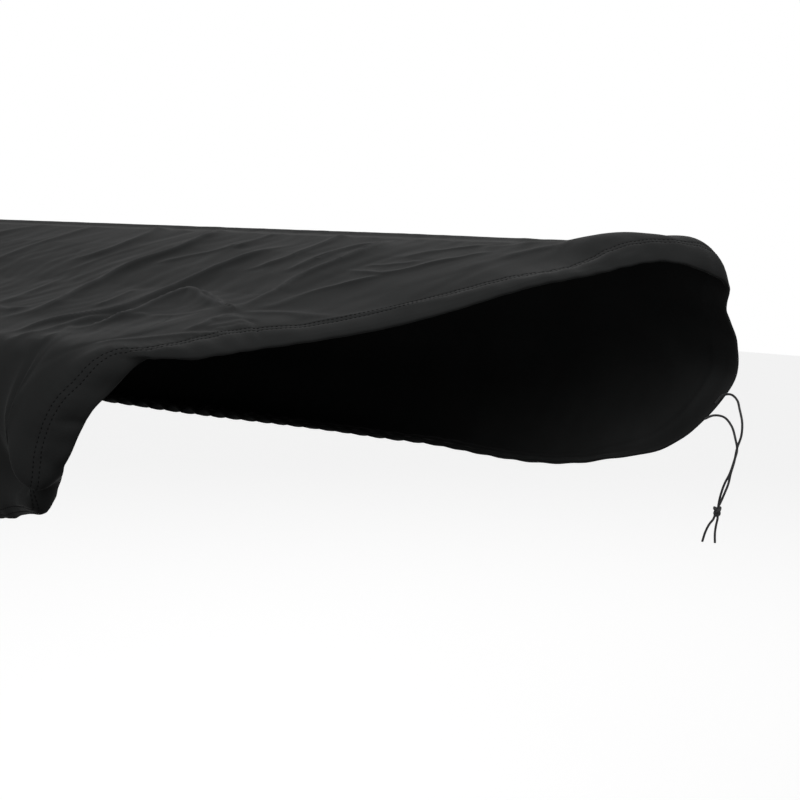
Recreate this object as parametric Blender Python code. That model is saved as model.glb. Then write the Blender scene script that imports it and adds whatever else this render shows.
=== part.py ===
"""Fitted stretch dust cover, 945 mm long inside, its right end turned back.

One sheet of cloth with a cased hem, and the two knotted ends of the hem's cord.
"""
import math

import bpy
import numpy as np

for scene_object in list(bpy.data.objects):
    bpy.data.objects.remove(scene_object, do_unlink=True)

# The driving sizes, in millimetres
# X runs right from the right end of the space under the cloth, Y back from its front, Z up from its foot.

ORIGIN = (-472.5, 187.0, 118.6)
CLOTH = 2.0
LENGTH = 945.0
FRONT_ROUND = 24.0
BACK_ROUND = 30.0

# The oval ring on the top where all sections end, and the spread of the crest about the ring's middle
RING_MIDDLE = (-440.0, 190.0)
RING_HALF = (260.0, 52.0)
CREST_SPREAD = (420.0, 175.0)
RING_ROWS = 4

COLUMNS = 140
# Where the rows lie along a section: 0 is the hem edge, 2 the seam, 6 the crest and 9 the ring
ROWS = (0.0, 1.0, 2.0, 3.0, 4.0, 4.6, 5.2, 5.7, 6.2, 6.7, 7.25, 7.8, 8.4, 9.0)

CORD_RADIUS = 0.8
CORD_STEP = 2.4
KNOT_WIDTH = 6.8
KNOT_HEIGHT = 8.4

# Height of the top along its depth: low at the front, rising in the middle, level at the back
TOP_DEPTH = (-60.0, -9.0, 40.0, 100.0, 145.0, 187.0, 240.0, 300.0, 335.0, 420.0)
TOP_HEIGHT = (86.0, 88.0, 95.0, 103.0, 110.5, 121.0, 132.0, 141.4, 142.0, 142.0)
# The top along the left end: its height at the front, where that is, its slope, and its width along X
END_HEIGHT = 77.7
END_FRONT = -6.9
END_SLOPE = 0.232
END_WIDTH = 70.0

# Cross-section of each plain wall from the hem edge to the top edge, as (inward from the wall line, height)
FRONT_LINE = -30.0
BACK_LINE = 401.0
LEFT_LINE = -951.0
FRONT_WALL = ((37, -16), (25, -21), (16, -10), (14, 8), (5, 34), (1, 54), (21, 88))
BACK_WALL = ((71, -10), (53, -12), (36, -4), (19, 24), (2, 57), (35, 102), (65, 142))
LEFT_WALL = ((28, -8), (13, -13), (2, -3), (0, 22), (0, 50), (2, 78), (16, 104))
# Shares of a quarter turn at which a left-hand corner has a section
CORNER_TURNS = (0.0, 0.33, 0.67, 1.0)

# The turned corner: one row per section, each from the hem edge to the top
# Columns: hem, fold, seam, waist, belly, brow, crest
TURNED_FRONT = (
    ((-274, 2, -13), (-271, -12, -14), (-271, -19, -5), (-271, -16, 9), (-271, -26, 32),
     (-273, -31, 54), (-277, -9, 89)),
    ((-259, -4, -9), (-256, -17, -11), (-256, -27, -1), (-257, -18, 10), (-254, -32, 25),
     (-256, -35, 54), (-265, -9, 90)),
    ((-244, -9, -2), (-240, -21, -7), (-241, -32, 1), (-246, -24, 10), (-244, -36, 18),
     (-247, -42, 52), (-257, -9, 90)),
    ((-228, -19, 10), (-232, -28, 9), (-236, -31, 12), (-239, -32, 16), (-241, -38, 24),
     (-243, -44, 48), (-252, -9, 90)),
    ((-207, -33, 21), (-214, -42, 13), (-223, -46, 13), (-232, -48, 20), (-239, -46, 34),
     (-243, -40, 57), (-248, -9, 90)),
    ((-196, -33, 41), (-206, -42, 41), (-218, -45, 42), (-227, -45, 47), (-235, -41, 56),
     (-240, -33, 68), (-243, -8, 91)),
    ((-188, -29, 57), (-197, -37, 59), (-207, -41, 61), (-216, -39, 65), (-224, -35, 71),
     (-231, -27, 79), (-238, -7, 91)),
    ((-181, -19, 69), (-189, -28, 71), (-198, -33, 74), (-206, -30, 78), (-213, -25, 82),
     (-220, -17, 87), (-229, -3, 92)),
    ((-169, -11, 83), (-177, -18, 85), (-187, -20, 88), (-195, -17, 90), (-202, -11, 91),
     (-209, -4, 92), (-217, 6, 94)),
    ((-145, 3, 88), (-154, 1, 91), (-166, 4, 93), (-177, 9, 94), (-187, 14, 95), (-196, 20, 96),
     (-206, 28, 98)),
    ((-139, 30, 90), (-149, 31, 94), (-162, 35, 97), (-173, 40, 99), (-184, 45, 100), (-193, 50, 101),
     (-204, 57, 102)),
    ((-137, 55, 91), (-147, 59, 96), (-159, 65, 100), (-170, 71, 102), (-181, 77, 103),
     (-191, 82, 104), (-202, 89, 105)),
)
TURNED_BACK = (
    ((-20, 267, 134), (-29, 272, 140.5), (-40, 278, 145), (-52, 283, 147.5), (-65, 288, 148),
     (-80, 294, 146), (-104, 303, 143)),
    ((-9, 288, 136), (-17, 293, 143), (-27, 299, 148), (-38, 303, 150.5), (-50, 307, 151),
     (-65, 311, 149.5), (-94, 318, 144.5)),
    ((3, 310, 130), (0, 312, 138.5), (-8, 316, 144.5), (-18, 319, 148), (-31, 321, 148.5),
     (-49, 324, 147.5), (-86, 327, 143.5)),
    ((1, 349, 119), (-1, 346, 129.5), (-6, 342, 139), (-14, 337, 145.5), (-25, 333, 148), (-44, 331, 147),
     (-82, 333, 142.5)),
    ((-8, 366, 100), (-17, 363, 107), (-28, 358, 114), (-38, 353, 121), (-48, 347, 129),
     (-59, 341, 136), (-84, 336, 142)),
    ((-13, 392, 74), (-24, 389, 80), (-36, 385, 85), (-48, 379, 93), (-60, 368, 107), (-72, 355, 123),
     (-92, 337, 142)),
    ((-17, 399, 50), (-28, 401, 55), (-41, 400, 61), (-54, 394, 72), (-68, 378, 94), (-84, 358, 118),
     (-106, 337, 142)),
    ((-26, 382, 26), (-38, 388, 31), (-52, 393, 41), (-68, 397, 58), (-86, 382, 84), (-103, 360, 114),
     (-126, 337, 142)),
    ((-50, 366, 2), (-60, 375, 6), (-72, 382, 16), (-90, 396, 48), (-110, 384, 82), (-128, 360, 114),
     (-152, 337, 142)),
    ((-92, 346, -9), (-97, 359, -9), (-104, 370, 2), (-118, 387, 34), (-138, 392, 70),
     (-158, 361, 111), (-182, 337, 142)),
)
DIAGONAL_HEM = ((-120, 86, 95), (-102, 119, 100), (-81, 158, 109), (-58, 199, 121), (-32, 246, 130))
DIAGONAL_INWARD = (-0.877, 0.480)
DIAGONAL_STEPS = (0.0, 12.0, 25.0, 36.0, 48.0, 62.0, 82.0)
DIAGONAL_DROOP = (1.0, 0.62, 0.34, 0.18, 0.08, 0.02, 0.0)

# Folds of the top: name, lift, width on the left and on the right, then the route as (X, Y)
FOLDS = (
    ("far", 4.0, 16.0, 9.0, ((-455, 150), (-467, 198), (-470, 225), (-476, 261), (-486, 300), (-495, 325))),
    ("main", 7.0, 20.0, 10.0, ((-360, 20), (-364, 76), (-380, 115), (-397, 150), (-408, 200),
     (-407, 248), (-418, 305))),
    ("second", 5.0, 14.0, 9.0, ((-300, -6), (-312, 24), (-320, 56), (-305, 78), (-309, 124),
     (-319, 180), (-312, 245))),
    ("third", 4.0, 10.0, 9.0, ((-281, -8), (-283, 8), (-293, 32), (-300, 52), (-284, 66), (-268, 72))),
    ("tent", 5.0, 10.0, 12.0, ((-260, 16), (-266, 45), (-276, 72), (-294, 112), (-299, 140), (-292, 166))),
    ("corner_seam", 6.0, 11.0, 15.0, ((-304, 158), (-279, 147), (-256, 137), (-230, 121), (-192, 96),
     (-170, 84))),
    ("inner", 5.0, 9.0, 16.0, ((-200, 96), (-213, 125), (-229, 172), (-235, 220), (-238, 270),
     (-232, 320))),
    ("outer", 4.0, 12.0, 12.0, ((-180, 104), (-176, 150), (-173, 190), (-160, 228), (-138, 266),
     (-118, 310))),
    ("hem_line", 3.0, 12.0, 10.0, ((-136, 76), (-126, 108), (-115, 147), (-102, 176), (-84, 216),
     (-66, 250))),
    ("rear_one", 3.5, 14.0, 10.0, ((-322, 190), (-316, 224), (-307, 245), (-310, 283), (-322, 325))),
    ("rear_two", 3.5, 14.0, 10.0, ((-290, 170), (-284, 205), (-275, 242), (-290, 290), (-300, 325))),
    ("rear_left", 4.0, 24.0, 16.0, ((-640, 40), (-612, 140), (-634, 250), (-628, 325))),
    ("front_left", 3.0, 20.0, 14.0, ((-790, 10), (-752, 110), (-770, 210), (-758, 300))),
)

# Hem cord, in hanging order: X, Y, Z
CORD_A = (
    (-21, 383, 36.5), (-14, 384, 39.5), (-6, 381, 37), (-1.8, 377, 31.5), (0.9, 376, 23), (0.6, 376, 14),
    (-2.4, 376.2, 5), (-4.4, 376.4, -4.9), (-6.7, 376.4, -13), (-8.2, 376.4, -20), (-10.9, 376.4, -27),
    (-14.3, 377, -34.4),
)
CORD_B = (
    (-25, 378.5, 24), (-17, 381, 25), (-9, 380, 19), (-5.4, 379, 11), (-3.6, 378.6, 4),
    (-5.8, 378.6, -5.1), (-8.8, 378.6, -14), (-12.3, 378.6, -21), (-14.4, 378.6, -27),
    (-16.3, 378.9, -34.4),
)
TAIL_A = ((-19.2, 376.8, -46.3), (-21.6, 376.6, -49.5), (-24.4, 376.4, -55), (-26.9, 376.4, -62.8))
TAIL_B = ((-17.2, 379.2, -46.4), (-17.9, 379, -50), (-18.6, 378.8, -56), (-18.4, 378.8, -63))
KNOT_MIDDLE = (-17.2, 378.0, -40.3)


def metres(points):
    """Points in millimetres, as metres about the part's origin."""
    return (np.asarray(points, float) - ORIGIN) * 0.001


def smooth(low, high, value):
    step = np.clip((value - low) / (high - low), 0.0, 1.0)
    return step * step * (3.0 - 2.0 * step)


def spline(knots, values, at):
    """Cubic curve through values at the knots, its slopes weighted by the gaps on both sides."""
    knots = np.asarray(knots, float)
    values = np.asarray(values, float)
    gap = np.diff(knots)
    rise = np.diff(values, axis=0) / gap.reshape(-1, *[1] * (values.ndim - 1))
    slope = np.empty_like(values)
    before = gap[:-1].reshape(-1, *[1] * (values.ndim - 1))
    after = gap[1:].reshape(-1, *[1] * (values.ndim - 1))
    slope[1:-1] = (rise[:-1] * after + rise[1:] * before) / (before + after)
    slope[0] = rise[0]
    slope[-1] = rise[-1]
    cell = np.clip(np.searchsorted(knots, at, side="right") - 1, 0, len(gap) - 1)
    shape = (-1, *[1] * (values.ndim - 1))
    width = gap[cell].reshape(shape)
    u = ((at - knots[cell]) / gap[cell]).reshape(shape)
    return (values[cell] * (1 + 2 * u) * (1 - u) ** 2 + slope[cell] * width * u * (1 - u) ** 2
            + values[cell + 1] * u * u * (3 - 2 * u) + slope[cell + 1] * width * u * u * (u - 1))


def top_height(x, y):
    """The top's plain height: it rises along the depth, and drops towards the left end."""
    middle = np.interp(y, TOP_DEPTH, TOP_HEIGHT)
    end = np.minimum(END_HEIGHT + END_SLOPE * (y - END_FRONT), middle)
    return end + (middle - end) * smooth(-LENGTH, END_WIDTH - LENGTH, x)


# Plain walls

def front_section(x):
    return [(x, FRONT_LINE + inward, height) for inward, height in FRONT_WALL]


def back_section(x):
    return [(x, BACK_LINE - inward, height) for inward, height in BACK_WALL]


def end_crest(y):
    """Height of the crest along the left end, which slopes evenly from front to back."""
    return min(END_HEIGHT + END_SLOPE * (y - END_FRONT), TOP_HEIGHT[-1])


def left_section(y):
    scale = end_crest(y) / LEFT_WALL[-1][1]
    section = []
    for inward, height in LEFT_WALL:
        section.append((LEFT_LINE + inward, y, height * (scale if height > 0 else 1.0)))
    return section


def corner_section(turn, wall_line, wall, radius, sign):
    """A section round a left-hand corner: turn is 0 on the long wall and 1 on the left end."""
    angle = turn * math.pi / 2
    end_top = end_crest(wall_line + sign * (wall[-1][0] + radius)) / LEFT_WALL[-1][1]
    section = []
    for (long_in, long_height), (end_in, end_height) in zip(wall, LEFT_WALL):
        side_y = wall_line + sign * long_in
        side_x = LEFT_LINE + end_in
        x = side_x + radius * (1 - math.sin(angle))
        y = side_y + sign * radius * (1 - math.cos(angle))
        end_z = end_height * (end_top if end_height > 0 else 1.0)
        share = turn * turn * (3 - 2 * turn)
        section.append((x, y, long_height * (1 - share) + end_z * share))
    return section


def diagonal_section(hem):
    """Across the turned-back diagonal: the casing droops, then the cloth lies on the top."""
    section = []
    fall = top_height(hem[0], hem[1]) - hem[2]
    for step, droop in zip(DIAGONAL_STEPS, DIAGONAL_DROOP):
        x = hem[0] + DIAGONAL_INWARD[0] * step
        y = hem[1] + DIAGONAL_INWARD[1] * step
        section.append((x, y, top_height(x, y) - fall * droop))
    return section


def loop_sections():
    """All sections round the hem, from the left end along the front, and the index of the right turn."""
    sections = [left_section(165.0), left_section(80.0)]
    for share in reversed(CORNER_TURNS):
        sections.append(corner_section(share, FRONT_LINE, FRONT_WALL, FRONT_ROUND, 1))
    sections += [front_section(x) for x in (-880, -800, -700, -600, -500, -410, -340, -294)]
    sections += [list(row) for row in TURNED_FRONT]
    sections += [diagonal_section(hem) for hem in DIAGONAL_HEM]
    turn = len(sections) + 2
    sections += [list(row) for row in TURNED_BACK]
    sections += [back_section(x) for x in (-250, -330, -430, -540, -660, -780, -870)]
    for share in CORNER_TURNS:
        sections.append(corner_section(share, BACK_LINE, BACK_WALL, BACK_ROUND, -1))
    sections.append(left_section(250.0))
    sections.append(sections[0])
    return np.array(sections, float), turn


def cover_surface():
    """The outer face as a grid of rows by columns, from the hem edge to a narrow ring on the top."""
    sections, turn = loop_sections()
    stride = np.linalg.norm(np.diff(sections[:, 1:], axis=0), axis=2).mean(axis=1)
    place = np.concatenate(([0.0], np.cumsum(stride)))
    # Columns stand closer together where the corner is turned back.
    middle = (sections[:-1, 5, 0] + sections[1:, 5, 0]) / 2
    front_turn = smooth(-300, -270, middle) * (1 - smooth(-215, -195, middle))
    weight = stride * (1.0 + 1.2 * smooth(-420, -270, middle) + 2.0 * front_turn)
    weight = np.concatenate(([0.0], np.cumsum(weight)))
    half = COLUMNS // 2
    front = np.interp(np.linspace(0, weight[turn], half + 1)[:-1], weight, place)
    back = np.interp(np.linspace(weight[turn], weight[-1], half + 1)[:-1], weight, place)
    at = np.concatenate((front, back))
    grid = spline(place, sections, at)
    crest = grid[:, 6]
    spread = (crest[:, :2] - RING_MIDDLE) / CREST_SPREAD
    ring = RING_MIDDLE + spread / np.linalg.norm(spread, axis=1)[:, None] * RING_HALF
    gain = crest[:, 2] - top_height(crest[:, 0], crest[:, 1])
    inner = []
    for share, kept in ((0.34, 0.25), (0.67, 0.0), (1.0, 0.0)):
        x = crest[:, 0] + (ring[:, 0] - crest[:, 0]) * share
        y = crest[:, 1] + (ring[:, 1] - crest[:, 1]) * share
        inner.append(np.stack((x, y, top_height(x, y) + gain * kept), axis=1))
    controls = np.concatenate((grid, np.stack(inner, axis=1)), axis=1)
    surface = spline(np.arange(10.0), controls.transpose(1, 0, 2), np.array(ROWS))
    # Past the crest the height is that of the top itself.
    rows = np.array(ROWS)[:, None]
    plain = top_height(surface[..., 0], surface[..., 1]) + gain[None, :] * (1 - smooth(6.0, 7.0, rows))
    share = smooth(6.0, 6.6, rows)
    surface[..., 2] = surface[..., 2] * (1 - share) + plain * share
    return surface


def fold_lift(x, y):
    """Height added by the folds: soft ridges, unequal on their two sides, fading at their ends."""
    lift = np.zeros_like(x)
    for _, height, left, right, route in FOLDS:
        route = np.array(route, float)
        run = np.concatenate(([0.0], np.cumsum(np.linalg.norm(np.diff(route, axis=0), axis=1))))
        fine = spline(run, route, np.linspace(0, run[-1], 41))
        best = np.full(x.shape, 1e9)
        side = np.zeros(x.shape)
        along = np.zeros(x.shape)
        for index in range(len(fine) - 1):
            start, end = fine[index], fine[index + 1]
            step = end - start
            size = step @ step
            share = np.clip(((x - start[0]) * step[0] + (y - start[1]) * step[1]) / size, 0, 1)
            dx = x - start[0] - share * step[0]
            dy = y - start[1] - share * step[1]
            away = np.hypot(dx, dy)
            nearer = away < best
            best = np.where(nearer, away, best)
            side = np.where(nearer, step[0] * dy - step[1] * dx, side)
            along = np.where(nearer, (index + share) / (len(fine) - 1), along)
        width = np.where(side > 0, left, right)
        taper = smooth(0.0, 0.22, along) * (1 - smooth(0.8, 1.0, along))
        lift += height * np.exp(-(best / width) ** 2) * taper
    return lift


def grid_faces(rows, columns, offset=0):
    """Quads of a grid closed round its columns, facing out of the loop."""
    faces = []
    for row in range(rows - 1):
        for column in range(columns):
            after = (column + 1) % columns
            low = offset + row * columns
            high = low + columns
            faces.append((low + column, low + after, high + after, high + column))
    return faces


def vertex_normals(points, faces):
    normals = np.zeros_like(points)
    quads = np.array(faces)
    across = points[quads[:, 2]] - points[quads[:, 0]]
    other = points[quads[:, 3]] - points[quads[:, 1]]
    facing = np.cross(across, other)
    for corner in range(4):
        np.add.at(normals, quads[:, corner], facing)
    return normals / np.linalg.norm(normals, axis=1)[:, None]


def material(name, color, roughness):
    made = bpy.data.materials.new(name)
    made.use_nodes = True
    shader = made.node_tree.nodes["Principled BSDF"]
    shader.inputs["Base Color"].default_value = (*color, 1.0)
    shader.inputs["Roughness"].default_value = roughness
    return made


def mesh_object(name, points, faces, finish):
    mesh = bpy.data.meshes.new(name)
    mesh.from_pydata([tuple(p) for p in points], [], faces)
    mesh.materials.append(finish)
    mesh.polygons.foreach_set("use_smooth", [True] * len(mesh.polygons))
    mesh.update()
    made = bpy.data.objects.new(name, mesh)
    bpy.context.scene.collection.objects.link(made)
    return made


# Cover cloth, its hem casing turned with it

def cover():
    outer = cover_surface()
    rows, columns = outer.shape[:2]
    top = smooth(4.6, 6.2, np.array(ROWS))[:, None]
    outer[..., 2] += fold_lift(outer[..., 0], outer[..., 1]) * top
    points = outer.reshape(-1, 3)
    faces = grid_faces(rows, columns)
    # The ring on the top is bridged by rows of its own, from the front column to the back one.
    ring = (rows - 1) * columns
    half = columns // 2
    previous = [ring + column for column in range(half + 1)]
    extra = []
    for step in range(1, RING_ROWS + 1):
        share = step / (RING_ROWS + 1)
        line = [previous[0]]
        for column in range(1, half):
            near = points[ring + column]
            far = points[ring + columns - column]
            x, y = near[:2] + (far[:2] - near[:2]) * share
            z = top_height(x, y) + fold_lift(np.array([x]), np.array([y]))[0]
            line.append(len(points) + len(extra))
            extra.append((x, y, z))
        line.append(previous[-1])
        faces += strip_faces(previous, line)
        previous = line
    back = [ring] + [ring + columns - column for column in range(1, half)] + [ring + half]
    faces += strip_faces(previous, back)
    points = np.concatenate((points, np.array(extra)))
    count = len(points)
    quads = [face if len(face) == 4 else (*face, face[2]) for face in faces]
    inside = points - vertex_normals(points, quads) * CLOTH
    closed = list(faces) + [tuple(count + v for v in reversed(face)) for face in faces]
    closed += [((c + 1) % columns, c, count + c, count + (c + 1) % columns) for c in range(columns)]
    finish = material("black_knit", (0.02, 0.021, 0.022), 0.8)
    return mesh_object("cover", metres(np.concatenate((points, inside))), closed, finish)


def strip_faces(near, far):
    """Quads between two lines of vertices, with a triangle where the lines share an end."""
    faces = []
    for index in range(len(near) - 1):
        face = (near[index], near[index + 1], far[index + 1], far[index])
        faces.append(tuple(dict.fromkeys(face)))
    return faces


# Hem cord: two strands, their knot and its two tails

def cord(name, route, finish):
    route = np.array(route, float)
    run = np.concatenate(([0.0], np.cumsum(np.linalg.norm(np.diff(route, axis=0), axis=1))))
    count = max(4, int(run[-1] / CORD_STEP))
    path = metres(spline(run, route, np.linspace(0, run[-1], count)))
    curve = bpy.data.curves.new(name, "CURVE")
    curve.dimensions = "3D"
    curve.bevel_depth = CORD_RADIUS * 0.001
    curve.bevel_resolution = 2
    curve.use_fill_caps = True
    line = curve.splines.new("POLY")
    line.points.add(len(path) - 1)
    for point, place in zip(line.points, path):
        point.co = (*place, 1.0)
    line.use_smooth = True
    curve.materials.append(finish)
    made = bpy.data.objects.new(name, curve)
    bpy.context.scene.collection.objects.link(made)
    return made


def knot(finish):
    """The overhand knot, pulled tight: an egg whose skin swells in three slanting turns."""
    rings = 12
    sides = 20
    points = [(0.0, 0.0, KNOT_HEIGHT / 2)]
    for ring in range(1, rings):
        down = math.pi * ring / rings
        for side in range(sides):
            around = 2 * math.pi * side / sides
            swell = 1.0 + 0.13 * math.cos(2 * around + 5.0 * math.cos(down)) * math.sin(down)
            radius = KNOT_WIDTH / 2 / 1.13 * math.sin(down) ** 0.8 * swell
            height = KNOT_HEIGHT / 2 * math.cos(down)
            points.append((radius * math.cos(around), radius * math.sin(around), height))
    points.append((0.0, 0.0, -KNOT_HEIGHT / 2))
    faces = []
    for side in range(sides):
        after = (side + 1) % sides
        faces.append((0, 1 + side, 1 + after))
        for ring in range(rings - 2):
            low = 1 + ring * sides
            faces.append((low + side, low + sides + side, low + sides + after, low + after))
        last = 1 + (rings - 2) * sides
        faces.append((last + side, len(points) - 1, last + after))
    return mesh_object("knot", metres(np.array(points) + KNOT_MIDDLE), faces, finish)


cover()
black_cord = material("black_cord", (0.012, 0.012, 0.013), 0.6)
cord("cord_a", CORD_A, black_cord)
cord("cord_b", CORD_B, black_cord)
knot(black_cord)
cord("tail_a", TAIL_A, black_cord)
cord("tail_b", TAIL_B, black_cord)
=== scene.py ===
import math
import random

import bpy
import numpy as np
from mathutils import Matrix


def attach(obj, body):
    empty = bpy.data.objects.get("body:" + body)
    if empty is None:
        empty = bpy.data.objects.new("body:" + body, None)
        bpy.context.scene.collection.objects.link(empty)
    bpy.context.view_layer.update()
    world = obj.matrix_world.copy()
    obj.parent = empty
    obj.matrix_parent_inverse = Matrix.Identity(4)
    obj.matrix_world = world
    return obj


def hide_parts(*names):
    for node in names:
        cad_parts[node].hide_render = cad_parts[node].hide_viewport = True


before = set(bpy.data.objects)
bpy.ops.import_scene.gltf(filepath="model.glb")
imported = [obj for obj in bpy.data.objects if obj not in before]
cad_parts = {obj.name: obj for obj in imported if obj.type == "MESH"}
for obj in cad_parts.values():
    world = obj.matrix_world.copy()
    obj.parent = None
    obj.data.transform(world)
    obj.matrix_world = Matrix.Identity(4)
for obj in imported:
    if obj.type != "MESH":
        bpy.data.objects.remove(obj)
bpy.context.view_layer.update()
print("frame loaded")

# Lengths below are in millimetres, except where a note says metres.
# X runs from the right end of what is covered, Y from its front, Z from its underside.
origin = np.array((-472.5, 187.0, 118.6))
millimetre = 0.001  # in metres
waveTurn = 6.28  # radians in one wave


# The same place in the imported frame, in metres.
def toMetres(points):
    return (np.asarray(points, float) - origin) * millimetre


# A step from 0 to 1 between low and high, level at both ends.
def smooth(low, high, value):
    step = np.clip((value - low) / (high - low), 0.0, 1.0)
    return step * step * (3.0 - 2.0 * step)


# A cubic through the values at the knots, each slope the mean of its two sides weighted by the far gap.
def spline(knots, values, at):
    knots = np.asarray(knots, float)
    values = np.asarray(values, float)
    gap = np.diff(knots)
    extra = (1,) * (values.ndim - 1)
    rise = np.diff(values, axis=0) / gap.reshape(-1, *extra)
    slope = np.empty_like(values)
    before = gap[:-1].reshape(-1, *extra)
    after = gap[1:].reshape(-1, *extra)
    slope[1:-1] = (rise[:-1] * after + rise[1:] * before) / (before + after)
    slope[0] = rise[0]
    slope[-1] = rise[-1]
    cell = np.clip(np.searchsorted(knots, at, side="right") - 1, 0, len(gap) - 1)
    width = gap[cell].reshape(-1, *extra)
    u = ((at - knots[cell]) / gap[cell]).reshape(-1, *extra)
    low = values[cell] * (1 + 2 * u) * (1 - u) ** 2 + slope[cell] * width * u * (1 - u) ** 2
    return low + values[cell + 1] * u * u * (3 - 2 * u) + slope[cell + 1] * width * u * u * (u - 1)


# The distance run from the first point to each point of a line.
def lengths(points):
    return np.concatenate(([0.0], np.cumsum(np.linalg.norm(np.diff(points, axis=0), axis=1))))


# Quads of a grid whose last column joins its first.
def gridQuads(rows, columns):
    row, column = np.meshgrid(np.arange(rows - 1), np.arange(columns), indexing="ij")
    after = (column + 1) % columns
    here = row * columns
    above = here + columns
    return np.stack((here + column, here + after, above + after, above + column), axis=-1).reshape(-1, 4)


# The normal at each point: the sum of the cross products of the diagonals of the quads round it.
def pointNormals(points, quads):
    facing = np.cross(points[quads[:, 2]] - points[quads[:, 0]], points[quads[:, 3]] - points[quads[:, 1]])
    total = np.zeros_like(points)
    for corner in range(4):
        for axis in range(3):
            total[:, axis] += np.bincount(quads[:, corner], weights=facing[:, axis], minlength=len(points))
    return total / np.maximum(np.linalg.norm(total, axis=1)[:, None], 1e-9)


def makeMaterial(name, color, roughness):
    made = bpy.data.materials.new(name)
    made.use_nodes = True
    shader = made.node_tree.nodes["Principled BSDF"]
    shader.inputs["Base Color"].default_value = (*color, 1.0)
    shader.inputs["Roughness"].default_value = roughness
    return made, shader


def link(made):
    bpy.context.scene.collection.objects.link(made)
    return made


def meshPiece(name, points, faces, finish):
    data = bpy.data.meshes.new(name)
    data.from_pydata(points.tolist(), [], faces if isinstance(faces, list) else faces.tolist())
    data.polygons.foreach_set("use_smooth", np.ones(len(data.polygons), bool))
    data.materials.append(finish)
    data.update()
    return link(bpy.data.objects.new(name, data))


# The matrix whose columns are three axes and a place.
def turnAndPlace(side, up, back, place):
    turn = Matrix.Identity(4)
    for row in range(3):
        turn[row] = (side[row], up[row], back[row], place[row])
    return turn


# Camera: the photograph's angle, place and focal length in pixels of a frame 800 wide
camera = {
    "pixels": 1692.09,
    "frame": 800.0,
    "sensor": 36.0,
    "yaw": 39.11,
    "pitch": 7.84,
    "roll": 0.19,
    "place": (531.77, -641.54, 192.25),
    "clip": (0.02, 60.0),  # metres
}


# It looks along +Y turned left by the yaw and down by the pitch, and rolls about that line.
def makeCamera():
    yaw, pitch, roll = (math.radians(camera[key]) for key in ("yaw", "pitch", "roll"))
    ahead = np.array((-math.sin(yaw) * math.cos(pitch), math.cos(yaw) * math.cos(pitch), -math.sin(pitch)))
    level = np.array((math.cos(yaw), math.sin(yaw), 0.0))
    upright = np.cross(level, ahead)
    right = math.cos(roll) * level + math.sin(roll) * upright
    up = -math.sin(roll) * level + math.cos(roll) * upright
    data = bpy.data.cameras.new("camera")
    data.sensor_width = camera["sensor"]
    data.lens = camera["sensor"] * camera["pixels"] / camera["frame"]
    data.clip_start, data.clip_end = camera["clip"]
    made = bpy.data.objects.new("camera", data)
    made.matrix_world = turnAndPlace(right, up, -ahead, toMetres(camera["place"]))
    bpy.context.scene.camera = link(made)
    bpy.context.scene.view_settings.view_transform = "Standard"


makeCamera()
print("camera set")

# Hem cord: two strands from the casing, through the knot, into the two tails
cord = {"radius": 0.8, "pathPoints": 150, "bevel": 4, "color": (0.012, 0.012, 0.013), "roughness": 0.62}
# Its braid: waves per metre, and their depth in metres
braid = {"sheen": 0.2, "scale": 900.0, "distortion": 1.5, "strength": 0.5, "depth": 0.0002}
knot = {
    "middle": (-17.2, 378.0, -40.3),
    "width": 7.0,
    "height": 8.4,
    "depth": 1.45,
    "slack": 0.35,
    "apart": 0.55,  # between the middle and each of the two passes
    "growth": 0.16,  # by which the outer pass is larger
    "thread": 0.96,  # of the cord's radius, drawn tight
    "points": 96,
    "sides": 12,
}
strandA = (
    (-24, 384, 33), (-19, 384.5, 38.5), (-13, 384, 40), (-6, 381, 37), (-1.8, 377, 31.5),
    (0.9, 376, 23), (0.6, 376, 14), (-2.4, 376.2, 5), (-4.4, 376.4, -4.9), (-6.7, 376.4, -13),
    (-8.2, 376.4, -20), (-10.9, 376.4, -27), (-14.3, 377, -34.4), (-17.4, 377.4, -40.2),
    (-19.2, 376.8, -46.3), (-21.6, 376.6, -49.5), (-24.4, 376.4, -55), (-26.9, 376.4, -62.8),
)
strandB = (
    (-28, 377, 22.5), (-23, 379.5, 25), (-16, 381, 24.6), (-9, 380, 19), (-5.4, 379, 11),
    (-3.6, 378.6, 4), (-5.8, 378.6, -5.1), (-8.8, 378.6, -14), (-12.3, 378.6, -21),
    (-14.4, 378.6, -27), (-16.3, 378.9, -34.4), (-16.9, 378.8, -40.2), (-17.2, 379.2, -46.4),
    (-17.9, 379, -50), (-18.6, 378.8, -56), (-18.4, 378.8, -63),
)


def cordMaterial():
    made, shader = makeMaterial("blackCord", cord["color"], cord["roughness"])
    shader.inputs["Sheen Weight"].default_value = braid["sheen"]
    tree = made.node_tree
    place = tree.nodes.new("ShaderNodeTexCoord")
    wave = tree.nodes.new("ShaderNodeTexWave")
    wave.wave_type = "BANDS"
    wave.bands_direction = "DIAGONAL"
    wave.inputs["Scale"].default_value = braid["scale"]
    wave.inputs["Distortion"].default_value = braid["distortion"]
    bump = tree.nodes.new("ShaderNodeBump")
    bump.inputs["Strength"].default_value = braid["strength"]
    bump.inputs["Distance"].default_value = braid["depth"]
    tree.links.new(place.outputs["Object"], wave.inputs["Vector"])
    tree.links.new(wave.outputs["Fac"], bump.inputs["Height"])
    tree.links.new(bump.outputs["Normal"], shader.inputs["Normal"])
    return made


blackCord = cordMaterial()


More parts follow.
